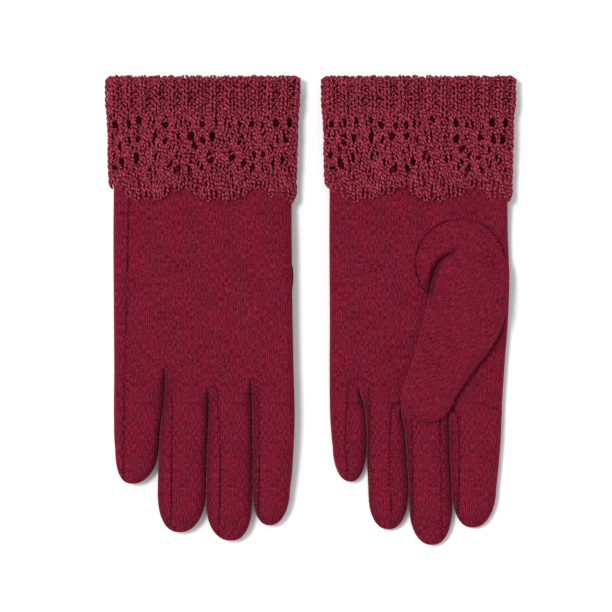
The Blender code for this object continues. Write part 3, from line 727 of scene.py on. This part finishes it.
def thumb_ring(glove, forward, left, right, risen, rounding, creased, wide=1.0, high=1.0, inset=0.0):
    """One section of the thumb: its flat side on the palm, its other side crowned."""
    up = 1 if glove.palm_up else -1
    bed = glove.thumb_low if glove.palm_up else glove.thumb_high - UNDER_THUMB_GAP
    full = (glove.thumb_high - glove.thumb_low) * risen * (1.0 if glove.palm_up else HIDDEN_THUMB_SHARE)
    middle, reach = (left + right) / 2, max((right - left) / 2 * wide - inset, 0.3)
    edge = full / 2 * rounding
    crest = []
    for step in range(THUMB_COLUMNS + 1):
        share = 0.5 - 0.5 * math.cos(math.pi * step / THUMB_COLUMNS)
        place = middle - reach + 2 * reach * share
        from_left, from_right = share * 2 * reach, (1 - share) * 2 * reach
        left_round = THUMB_EDGE_ROUND + 5.0 * (1 - rounding)
        right_round = THUMB_EDGE_ROUND + 16.0 * (1 - creased)
        left_round, right_round = min(left_round, reach * 0.9), min(right_round, reach * 1.1)
        left_share, right_share = min(from_left / left_round, 1.0), min(from_right / right_round, 1.0)
        left_rise = math.sqrt(1 - (1 - left_share) ** 2)
        right_rise = (1 - creased) * ease(right_share) + creased * math.sqrt(1 - (1 - right_share) ** 2)
        crest.append((place, left_rise * right_rise))
    points = []
    for place, rise in crest[:-1]:
        crown = edge + (full * (0.93 + 0.07 * rise) - edge) * rise
        ripple = 0.5 * noise.noise(Vector((place / 9, forward / 13, 5.0))) * rise * rounding
        points.append((place, (crown * high - inset + ripple * (inset == 0.0))))
    for place, rise in crest[:0:-1]:
        points.append((place, edge * (1 - rise) * high + inset))
    ring = []
    for place, above in points:
        x, y = thumb_to_glove(glove, place, forward)
        ring.append((x, y, bed + up * max(above, 0.02), SEAM_FAR, SEAM_FAR, 0.0, y, 0.0))
    return ring if glove.palm_up else [ring[0], *ring[:0:-1]]


def beside_thumb(glove, x, y):
    """How far a place is left of the thumb's inner edge, and its place along the thumb."""
    across, along = x - glove.thumb_axis[0], y - glove.thumb_axis[1]
    beside = across * math.cos(THUMB_TURN) + along * math.sin(THUMB_TURN)
    forward = along * math.cos(THUMB_TURN) - across * math.sin(THUMB_TURN)
    return at_height(THUMB_ROWS, forward)[0] - beside, forward


def paint_shade_in_fold(piece, glove, reach_in, reach_out):
    """Marks painted shade on the cloth in the fold between the gusset and the thumb, where little light
    reaches.
    """
    marks = []
    for vertex in piece.data.vertices:
        away, forward = beside_thumb(glove, vertex.co.x / MM - glove.x, vertex.co.y / MM)
        along = ease((8.5 - forward) / 5) * ease((forward + 24) / 9)
        reach = reach_out if away > 0 else reach_in
        marks.append(along * math.exp(-((away / reach) ** 2)))
    mark_points(piece, "fold", marks)


thumb_jersey = wool_material(
    "red_wool_thumb", jersey_knit, 0.42, 0.34 * MM, {"Colour": (0.156, 0.0058, 0.0205, 1.0)}, bias=38.0
)
for glove in gloves:
    up = 1 if glove.palm_up else -1
    # The gusset is a thin round patch, level with the palm
    palm_z = glove.thumb_low if glove.palm_up else glove.thumb_high
    bpy.ops.object.select_all(action="DESELECT")
    bpy.ops.mesh.primitive_cylinder_add(
        vertices=72, radius=(GUSSET_RADIUS - GUSSET_CLEAR) * MM, depth=GUSSET_THICKNESS * MM,
        location=(glove.gusset[0] * MM, glove.gusset[1] * MM, (palm_z - up * GUSSET_BELOW_PALM) * MM),
    )
    gusset = bpy.context.object
    gusset.name = f"{glove.name}_thumb_gusset_jersey"
    bpy.ops.object.transform_apply(location=True, rotation=False, scale=False)
    bpy.ops.object.mode_set(mode="EDIT")
    bpy.ops.mesh.select_mode(type="FACE")
    for inset_by in GUSSET_RINGS:
        bpy.ops.object.mode_set(mode="OBJECT")
        for face in gusset.data.polygons:
            face.select = abs(face.normal.z) > 0.9 and len(face.vertices) > 4
        bpy.ops.object.mode_set(mode="EDIT")
        bpy.ops.mesh.inset(thickness=inset_by * MM, use_individual=True)
    bpy.ops.object.mode_set(mode="OBJECT")
    seam_from_edge, runs = [], []
    for vertex in gusset.data.vertices:
        x, y = vertex.co.x / MM - glove.gusset[0], vertex.co.y / MM - glove.gusset[1]
        from_middle = math.hypot(x, y)
        if from_middle > GUSSET_RADIUS - 0.4:
            vertex.co.z += (palm_z * MM - up * GUSSET_BELOW_PALM * MM - vertex.co.z) * 0.5
        elif (vertex.co.z / MM - palm_z) * up > 0:
            # The cloth beside the fold stands up in a pleat, soft on its left and steep toward the thumb
            away, forward = beside_thumb(glove, vertex.co.x / MM - glove.x, vertex.co.y / MM)
            slope = 5.5 if away > PLEAT_AWAY else 1.3
            pleat = math.exp(-(((away - PLEAT_AWAY) / slope) ** 2))
            pleat *= ease((13 - forward) / 10) * ease((forward + 26) / 9)
            pleat_height = PLEAT_HEIGHT if glove.palm_up else 0.3 * PLEAT_HEIGHT
            vertex.co.z += up * pleat_height * pleat * ease((GUSSET_RADIUS - from_middle) / 5.0) * MM
        seam_from_edge.append((GUSSET_RADIUS - from_middle) * MM)
        runs.append(math.atan2(y, x) * GUSSET_RADIUS * MM)
    mark_points(gusset, "seam", seam_from_edge)
    mark_points(gusset, "run", runs)
    cloth = gusset.data.uv_layers.new(name="cloth")
    for loop in gusset.data.loops:
        place = gusset.data.vertices[loop.vertex_index].co
        cloth.data[loop.index].uv = (place.x * 0.97 - place.y * 0.22, place.y * 0.97 + place.x * 0.22)
    bpy.ops.object.shade_smooth_by_angle(angle=math.radians(40))
    gusset.data.materials.append(thumb_jersey)
    paint_shade_in_fold(gusset, glove, 2.0, 2.3)
    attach(gusset, f"{glove.name}_thumb")
    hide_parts(f"{glove.name}_thumb_gusset")

    # The stall
    back, front = THUMB_ROWS[0][0], THUMB_ROWS[-1][0]
    rows = int((back - front) / ROW_STEP)
    outer, inner = [], []
    for k in range(rows + 1):
        forward = back + (front - back) * k / rows
        values = at_height(THUMB_ROWS, forward)
        values[2:] = [min(max(value, 0.0), 1.0) for value in values[2:]]
        outer.append(thumb_ring(glove, forward, *values))
        if k % 2 == 0 and forward < -8:
            inner.append(thumb_ring(glove, forward, *values, inset=THUMB_WALL))
    left, right, *rest = at_height(THUMB_ROWS, front)
    length = THUMB_END + front
    for degrees in TIP_TURNS[1:]:
        turn = math.radians(degrees)
        wide, high = math.cos(turn) ** 0.85, math.cos(turn) ** 0.6
        shift = (THUMB_TIP_X - (left + right) / 2) * math.sin(turn) ** 2
        place = (front - length * math.sin(turn), left + shift, right + shift, *rest, wide, high)
        outer.append(thumb_ring(glove, *place))
        if degrees in (28, 53):
            inner.append(thumb_ring(glove, *place, inset=THUMB_WALL * high))
    stall = sew_cloth(f"{glove.name}_thumb_jersey", glove, outer, inner)
    stall.data.materials.append(thumb_jersey)
    paint_shade_in_fold(stall, glove, 1.5, 2.5)
    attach(stall, f"{glove.name}_thumb")
    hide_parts(f"{glove.name}_thumb_stall")

# The cuffs' inner layers: thick knit in a plain tube, from the wrist seam up to the fold at the rim.
# The turned cuff hides each of them until it slides up.
BAND_TOP_BELOW_RIM = 4.6
BAND_INSET = 2.5
BAND_WALL = 1.5
CUFF_SQUARENESS = 3.2
BAND_COLUMNS = 120
BAND_ROWS = 12
BAND_ABOVE_WRIST = 0.4
CUFF_NARROWING = 1.3  # the cuff is this much narrower, on each side, at its lower edge
CUFF_ROUND = 200 * MM  # the cloth's length round the cuff


def squared(angle, half_width, half_height):
    """A point of the flattened cuff's outline and the direction that faces out from it."""
    c, s = np.cos(angle), np.sin(angle)
    across = half_width * np.sign(c) * np.abs(c) ** (2 / CUFF_SQUARENESS)
    above = half_height * np.sign(s) * np.abs(s) ** (2 / CUFF_SQUARENESS)
    power = CUFF_SQUARENESS - 1
    out_x = np.sign(across) * np.abs(across / half_width) ** power / half_width
    out_z = np.sign(above) * np.abs(above / half_height) ** power / half_height
    length = np.hypot(out_x, out_z)
    return across, above, out_x / length, out_z / length


def even_angles(half_width, half_height, count):
    """Angles that lie an equal way apart round the outline, starting at the right-hand side."""
    fine = np.linspace(0, 2 * np.pi, 4001)
    across, above, _, _ = squared(fine, half_width, half_height)
    travelled = np.concatenate([[0], np.cumsum(np.hypot(np.diff(across), np.diff(above)))])
    return np.interp(np.arange(count) / count * travelled[-1], travelled, fine)


def tube_between(name, rings):
    """A closed wall through closed rings of as many points each; the last ring joins the first."""
    count = len(rings[0])
    points = np.concatenate(rings)
    faces, cloth_map = [], []
    for a in range(len(rings)):
        b = (a + 1) % len(rings)
        for i in range(count):
            j = (i + 1) % count
            faces.append((a * count + i, b * count + i, b * count + j, a * count + j))
            for ring, step in ((a, i), (b, i), (b, i + 1), (a, i + 1)):
                cloth_map.append((step / count * CUFF_ROUND, points[ring * count][1]))
    piece = made_piece(name, points, faces, cloth_map)
    piece.data.set_sharp_from_angle(angle=math.radians(50))
    return piece


def cuff_ring(glove, half_width, y, inset):
    """A closed outline of the cuff at height y, this far inside its outer one."""
    angles = even_angles(half_width - inset, glove.cuff_half - inset, BAND_COLUMNS)
    across, above, _, _ = squared(angles, half_width - inset, glove.cuff_half - inset)
    points = np.stack([glove.x + across, np.full_like(across, y), glove.cuff_z + above], axis=1)
    return points * MM


inside_knit = wool_material(
    "red_wool_inside_knit", jersey_knit, 0.3, 0.6 * MM,
    {
        "Wale Width": 3.4 * MM, "Course Height": 2.8 * MM, "Colour": (0.125, 0.0042, 0.0155, 1.0),
        "Dark Wool": (0.060, 0.0010, 0.0055, 1.0), "Light Wool": (0.270, 0.0210, 0.050, 1.0),
    },
)
for glove in gloves:
    narrow = glove.cuff_half_width - CUFF_NARROWING
    top, low = glove.rim_y - BAND_TOP_BELOW_RIM, glove.wrist_y + BAND_ABOVE_WRIST
    heights = np.linspace(top, low, BAND_ROWS)
    rings = [cuff_ring(glove, narrow, y, BAND_INSET) for y in heights]
    rings += [cuff_ring(glove, narrow, y, BAND_INSET + BAND_WALL) for y in heights[::-1]]
    band = tube_between(f"{glove.name}_cuff_inner_layer", rings)
    band.data.materials.append(inside_knit)
    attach(band, f"{glove.name}_hand")
    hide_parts(f"{glove.name}_cuff_band")

# The cuffs: the same knit is folded outward at the rim and down over itself. It starts as a rib and goes on
# as lace with eyelets to a scalloped edge. Every course is one strand of thick yarn in loops.
STITCHES = 56
COURSES = 17
ROWS_OVER_RIM = 1
TURN_LENGTH = 51.0
SCALLOP_DEPTH = 6.8
SCALLOPS = 5
YARN_RADIUS = 0.64
YARN_STEPS = 12
YARN_SIDES = 5
LOOP_HEIGHT = 0.86
LOOP_LEAN = 0.19
LOOP_DEPTH = 0.66
RIB_RELIEF = 0.9
RIM_ROUND = 1.05
YARN_INSET = 1.1
RIB_COURSES = 6
PLY_LENGTH = 2.1
STITCH_PLAY = 0.10  # how unevenly the loops are knitted, in stitches and courses
LACE_SWAY = (0.24, 0.22)  # how far the lace pulls the loops aside and along
EYELET_PUSH = 0.5
EYELET_REACH = 0.85
BACK_INSETS = (1.8, 2.1)
BACK_ROWS = 14
BACK_BELOW_RIM = 4.0
BACK_ABOVE_EDGE = 5.0
# Eyelets in each scallop: how far from the scallop's lowest place, as a share of its width, and the course
EYELETS = (
    (0.09, 6.6), (0.27, 6.8), (0.44, 7.3), (0.40, 8.9), (0.33, 10.5), (0.13, 8.7), (0.25, 9.1), (0.42, 11.9),
    (0.30, 12.6), (0.15, 11.5), (0.41, 13.9),
)

# The cuff yarn's colours are partly painted light: the near-black Colour stands for the shade between the loops
# and the bright pink Light Wool for highlights on the lit yarn
turned_knit = knit_group("turned_knit", {
    "Colour": (0.066, 0.0005, 0.0045, 1.0), "Light Wool": (0.66, 0.088, 0.150, 1.0),
})
given = turned_knit.nodes.new("NodeGroupInput").outputs
split = add_node(turned_knit, "ShaderNodeSeparateXYZ", {0: given["Cloth"]}).outputs
plies = maths("SINE", times(plus(maths("DIVIDE", split[0], PLY_LENGTH * MM), split[1]), 2 * math.pi))
fibres = streaks(given["Cloth"], 420.0, 3.0, 2.0, 3.0, 0.7)
# Random fibre streaks, the wool's own uneven tone, and the ply twist, which paints highlights on the plies'
# crests and shade in their grooves, choose between the two colours
fibre_tone_and_ply_light = plus(strengthened(fibres, 3.4, 0.27), times(plies, 0.26))
spun = mixed(fibre_tone_and_ply_light, given["Colour"], given["Light Wool"])
rough = plus(0.75, times(fibres, 0.2))
add_node(turned_knit, "NodeGroupOutput", {"Colour": spun, "Height": plus(plies, fibres), "Roughness": rough})
cuff_yarn = wool_material("red_wool_cuff_yarn", turned_knit, 0.18, 0.3 * MM)
# Painted shade: a knit finish coloured much darker than the yarn, for the back of the knit behind the loops
painted_shade_knit = wool_material(
    "red_wool_shaded_knit", jersey_knit, 0.2, 0.5 * MM,
    {
        "Wale Width": 3.6 * MM, "Course Height": 3.1 * MM, "Colour": (0.050, 0.0006, 0.0035, 1.0),
        "Dark Wool": (0.025, 0.0003, 0.0018, 1.0), "Light Wool": (0.085, 0.0016, 0.0075, 1.0),
    },
)

randomly = np.random.default_rng(7)


def scallop_phase(across, above, half_width):
    """How many scallops lie between the cuff's right-hand side and a place on its outline."""
    share = np.clip(across / half_width, -1, 1)
    return np.where(above >= 0, 1 - share, 3 + share) / 4 * SCALLOPS


def turned_place(glove, stitch, course, out):
    """Points of the turned cuff, from stitch and course numbers and the distance out from its middle layer."""
    fine = 40
    angles = even_angles(glove.cuff_half_width - YARN_INSET, glove.cuff_half - YARN_INSET, STITCHES * fine)
    stitches = np.arange(STITCHES * fine + 1) / fine
    angle = np.interp(np.mod(stitch, STITCHES), stitches, np.append(angles, 2 * np.pi))
    across, above, _, _ = squared(angle, glove.cuff_half_width, glove.cuff_half)
    phase = scallop_phase(across, above, glove.cuff_half_width)
    lobe = np.abs(np.cos(np.pi * phase)) ** 0.9
    spacing = TURN_LENGTH / (COURSES - 1 + 0.35)
    lace_share = np.clip((course - RIB_COURSES + 1) / (COURSES - RIB_COURSES), 0, 1.1)
    down = course * spacing + SCALLOP_DEPTH * lobe * lace_share ** 1.5
    turn = np.clip(-down / RIM_ROUND, 0, np.pi)
    middle_y = glove.rim_y - YARN_RADIUS - RIM_ROUND - 0.25
    y = middle_y + RIM_ROUND * np.sin(turn) - np.maximum(down, 0) + np.minimum(down + np.pi * RIM_ROUND, 0)
    inset = YARN_INSET + RIM_ROUND * (1 - np.cos(turn))
    narrowing = CUFF_NARROWING * np.clip((glove.rim_y - y) / TURN_LENGTH, 0, 1.1)
    half_width = glove.cuff_half_width - narrowing - inset
    across, above, out_x, out_z = squared(angle, half_width, glove.cuff_half - inset)
    face_out = np.cos(turn)
    normal = np.stack([out_x * face_out, np.sin(turn), out_z * face_out], axis=-1)
    place = np.stack([glove.x + across, y, glove.cuff_z + above], axis=-1) + normal * out[..., None]
    # The side underneath lies flat on the table
    place[..., 2] = np.maximum(place[..., 2], YARN_RADIUS + TABLE_DROP)
    return place, normal


def eyelet_places(glove):
    """Stitch and course numbers of every eyelet round the cuff."""
    stitches = np.linspace(0, STITCHES, 2401)
    angles = even_angles(glove.cuff_half_width - YARN_INSET, glove.cuff_half - YARN_INSET, 2400)
    across, above, _, _ = squared(np.append(angles, 2 * np.pi - 1e-6), glove.cuff_half_width, glove.cuff_half)
    phase = scallop_phase(across, above, glove.cuff_half_width)
    found = []
    for scallop in range(SCALLOPS + 1):
        for away, course in EYELETS:
            for side in (-1, 1):
                target = scallop + side * away + randomly.uniform(-0.012, 0.012)
                if 0 <= target < SCALLOPS:
                    found.append((np.interp(target, phase, stitches), course + randomly.uniform(-0.15, 0.15)))
    return found


def open_eyelets(stitch, course, eyelets):
    """Pushes the yarn away from each eyelet."""
    for at_stitch, at_course in eyelets:
        beside = np.mod(stitch - at_stitch + STITCHES / 2, STITCHES) - STITCHES / 2
        below = course - at_course
        away = np.hypot(beside, below) + 1e-4
        push = EYELET_PUSH * np.exp(-((away / EYELET_REACH) ** 2)) / away
        stitch = stitch + beside * push
        course = course + below * push
    return stitch, course


def knit_course(glove, course, eyelets):
    """The middle line of one course of yarn all the way round, and the direction that faces out from it."""
    step = np.arange(STITCHES * YARN_STEPS)
    turn = 2 * np.pi * (step % YARN_STEPS) / YARN_STEPS
    base = step / YARN_STEPS
    loose = np.append(randomly.normal(0, STITCH_PLAY, (2, STITCHES * 2)), np.zeros((2, 1)), axis=1)
    jitter = np.stack([np.interp(base, np.arange(STITCHES * 2 + 1) / 2, row) for row in loose])
    lace = np.clip((course - RIB_COURSES + 1) / 3, 0, 1)
    stitch = base + LOOP_LEAN * np.sin(2 * turn) + jitter[0] * (0.7 + lace)
    along = course + LOOP_HEIGHT * np.cos(turn) + jitter[1] * (0.7 + lace)
    stitch = stitch + LACE_SWAY[0] * lace * np.sin(1.7 * course + base * 2 * np.pi * 17 / STITCHES)
    along = along + LACE_SWAY[1] * lace * np.sin(1.1 * course + base * 2 * np.pi * 23 / STITCHES)
    rib_share = np.clip(RIB_COURSES - 0.5 - course, 0, 1)
    rib_face = np.clip(1.9 * np.cos(np.pi * (base - 0.5)), -1, 1)
    face = rib_share * rib_face + (1 - rib_share)
    out = -LOOP_DEPTH * face * np.cos(2 * turn)
    out = out + RIB_RELIEF * rib_share * np.cos(np.pi * (stitch - 0.5))
    out = out + 0.14 * np.sin(stitch * 1.3 + course * 0.7)
    stitch, along = open_eyelets(stitch, along, eyelets)
    return turned_place(glove, stitch, along, out)


def yarn_tube(paths, name):
    """Round strands along closed paths, as one mesh."""
    points, faces, cloth_map = [], [], []
    made = 0
    for place, normal in paths:
        forward = np.roll(place, -1, axis=0) - np.roll(place, 1, axis=0)
        length = np.linalg.norm(forward, axis=1, keepdims=True)
        forward = forward / np.maximum(length, 1e-6)
        up = normal - forward * (normal * forward).sum(axis=1, keepdims=True)
        up = up / np.maximum(np.linalg.norm(up, axis=1, keepdims=True), 1e-6)
        beside = np.cross(forward, up)
        count = len(place)
        run = np.concatenate([[0], np.cumsum(np.linalg.norm(np.roll(place, -1, axis=0) - place, axis=1))])
        radius = YARN_RADIUS * (1 + 0.07 * np.sin(run[:-1] * 0.9 + made))[:, None]
        rings = []
        for side in range(YARN_SIDES):
            angle = 2 * np.pi * side / YARN_SIDES
            rings.append(place + radius * (math.cos(angle) * up + math.sin(angle) * beside))
        points.append(np.stack(rings, axis=1).reshape(-1, 3))
        i = np.arange(count)
        j = (i + 1) % count
        for side in range(YARN_SIDES):
            other = (side + 1) % YARN_SIDES
            here, there = i * YARN_SIDES, j * YARN_SIDES
            faces.append(np.stack([here + side, here + other, there + other, there + side], axis=1) + made)
            low, high = np.full(count, side / YARN_SIDES), np.full(count, (side + 1) / YARN_SIDES)
            start, end = run[:-1] * MM, run[1:] * MM
            cloth_map.append(np.stack([start, low, start, high, end, high, end, low], axis=1))
        made += count * YARN_SIDES
    points, faces = np.concatenate(points) * MM, np.concatenate(faces)
    return made_piece(name, points.tolist(), faces.tolist(), np.concatenate(cloth_map))


for glove in gloves:
    eyelets = eyelet_places(glove)
    courses = [knit_course(glove, course, eyelets) for course in range(-ROWS_OVER_RIM, COURSES)]
    yarn = yarn_tube(courses, f"{glove.name}_cuff_yarn")
    yarn.data.materials.append(cuff_yarn)
    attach(yarn, f"{glove.name}_turned_cuff")

    # The back of the knit, which closes the loops from behind; its dark colour is painted shade from the loops
    # over it
    top, low = glove.rim_y - BACK_BELOW_RIM, glove.rim_y - TURN_LENGTH + BACK_ABOVE_EDGE
    heights = np.linspace(top, low, BACK_ROWS)
    half_widths = [glove.cuff_half_width - CUFF_NARROWING * (glove.rim_y - y) / TURN_LENGTH for y in heights]
    rings = [cuff_ring(glove, wide, y, BACK_INSETS[0]) for wide, y in zip(half_widths, heights)]
    rings += [cuff_ring(glove, wide, y, BACK_INSETS[1]) for wide, y in zip(half_widths[::-1], heights[::-1])]
    knit_back = tube_between(f"{glove.name}_cuff_knit_back", rings)
    knit_back.data.materials.append(painted_shade_knit)
    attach(knit_back, f"{glove.name}_turned_cuff")
    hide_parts(f"{glove.name}_cuff_turn")
